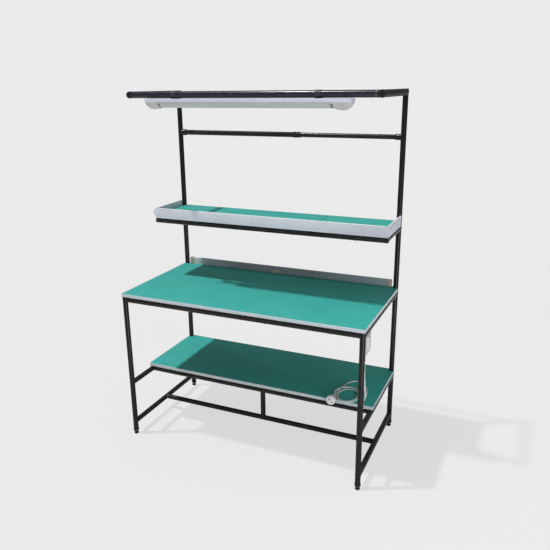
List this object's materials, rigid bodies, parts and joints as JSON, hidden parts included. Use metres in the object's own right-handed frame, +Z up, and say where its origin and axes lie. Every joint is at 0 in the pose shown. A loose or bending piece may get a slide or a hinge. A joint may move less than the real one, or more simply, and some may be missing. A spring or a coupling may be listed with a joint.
{
  "type": "antistatic workbench",
  "caption": "Black tube workbench with green matted worktop, lower shelf and lipped tray, a tool bar, a hanging lamp, a switch box and a coiled lead.",
  "frame": {"origin": "on the floor at the middle of the footprint", "axes": "+X to the right along the bench, +Y from the front to the back, +Z up"},
  "size_m": [1.222, 0.6044, 1.6858],
  "materials": {
    "frame_tube": "gloss black powder coat",
    "mat_green": "matt green antistatic sheet",
    "board": "particle board",
    "edging": "satin grey edging",
    "lip": "satin lavender grey",
    "trunking": "satin blue grey",
    "trunking_cap": "matt beige",
    "lamp_body": "satin white paint",
    "lamp_diffuser": "opal",
    "lamp_end": "satin white",
    "lamp_glass": "coated white glass, opaque",
    "strap": "dark grey lacquer",
    "switch_box": "satin pale grey",
    "rocker": "satin white",
    "lead": "soft pale grey sheath",
    "plug": "satin off-white",
    "foot": "matt black"
  },
  "bodies": {
    "bench": {"leg_front_left": "frame_tube", "leg_front_right": "frame_tube", "post_back_left": "frame_tube", "post_back_right": "frame_tube", "rail_top_front": "frame_tube", "rail_top_back": "frame_tube", "rail_top_left": "frame_tube", "rail_top_right": "frame_tube", "rail_shelf_left": "frame_tube", "rail_shelf_right": "frame_tube", "shelf_bar_front": "frame_tube", "shelf_bar_back": "frame_tube", "shelf_bearer": "frame_tube", "stretcher_low_left": "frame_tube", "stretcher_low_right": "frame_tube", "stretcher_long": "frame_tube", "centre_post": "frame_tube", "tray_bar_front": "frame_tube", "tray_bar_back": "frame_tube", "tray_arm_left": "frame_tube", "tray_arm_right": "frame_tube", "lamp_arm_left": "frame_tube", "lamp_arm_right": "frame_tube", "lamp_bar": "frame_tube", "tool_bar_thick": "frame_tube", "tool_bar_thin": "frame_tube", "tool_bar_socket_left": "frame_tube", "tool_bar_socket_right": "frame_tube", "worktop_board": "board", "shelf_board": "board", "tray_board": "board", "worktop_mat": "mat_green", "shelf_mat": "mat_green", "tray_mat": "mat_green", "worktop_edging": "edging", "shelf_edging": "edging", "tray_lip_front": "lip", "tray_lip_left": "lip", "tray_lip_right": "lip", "trunking": "trunking", "trunking_cap_left": "trunking_cap", "trunking_cap_right": "trunking_cap", "lamp_housing": "lamp_body", "lamp_diffuser": "lamp_diffuser", "lamp_end_left": "lamp_end", "lamp_end_right": "lamp_end", "lamp_strap_left": "strap", "lamp_strap_right": "strap", "switch_box": "switch_box", "switch_plate": "switch_box", "cord_gland": "lead", "cord_drop": "lead", "cord_coil": "lead", "plug": "plug"},
    "foot_front_left": {"foot_front_left": "foot"},
    "foot_front_right": {"foot_front_right": "foot"},
    "foot_back_left": {"foot_back_left": "foot"},
    "foot_back_right": {"foot_back_right": "foot"},
    "lamp_tube": {"lamp_tube": "lamp_glass"},
    "switch_rocker": {"switch_rocker": "rocker"}
  },
  "joints": [
    {"name": "foot_front_left_screw", "type": "slide", "parent": "bench", "child": "foot_front_left", "axis": [0, 0, -1], "range_m": [-0.0025, 0.015]},
    {"name": "foot_front_right_screw", "type": "slide", "parent": "bench", "child": "foot_front_right", "axis": [0, 0, -1], "range_m": [-0.0025, 0.015]},
    {"name": "foot_back_left_screw", "type": "slide", "parent": "bench", "child": "foot_back_left", "axis": [0, 0, -1], "range_m": [-0.0025, 0.015]},
    {"name": "foot_back_right_screw", "type": "slide", "parent": "bench", "child": "foot_back_right", "axis": [0, 0, -1], "range_m": [-0.0025, 0.015]},
    {"name": "lamp_tube_lock", "type": "hinge", "parent": "bench", "child": "lamp_tube", "pos_m": [-0.0125, -0.121, 1.629], "axis": [1, 0, 0], "range_deg": [0, 90]},
    {"name": "switch_rocker_tilt", "type": "hinge", "parent": "bench", "child": "switch_rocker", "pos_m": [0.5941, -0.2317, 0.6731], "axis": [0, 1, 0], "range_deg": [0, 7]}
  ]
}
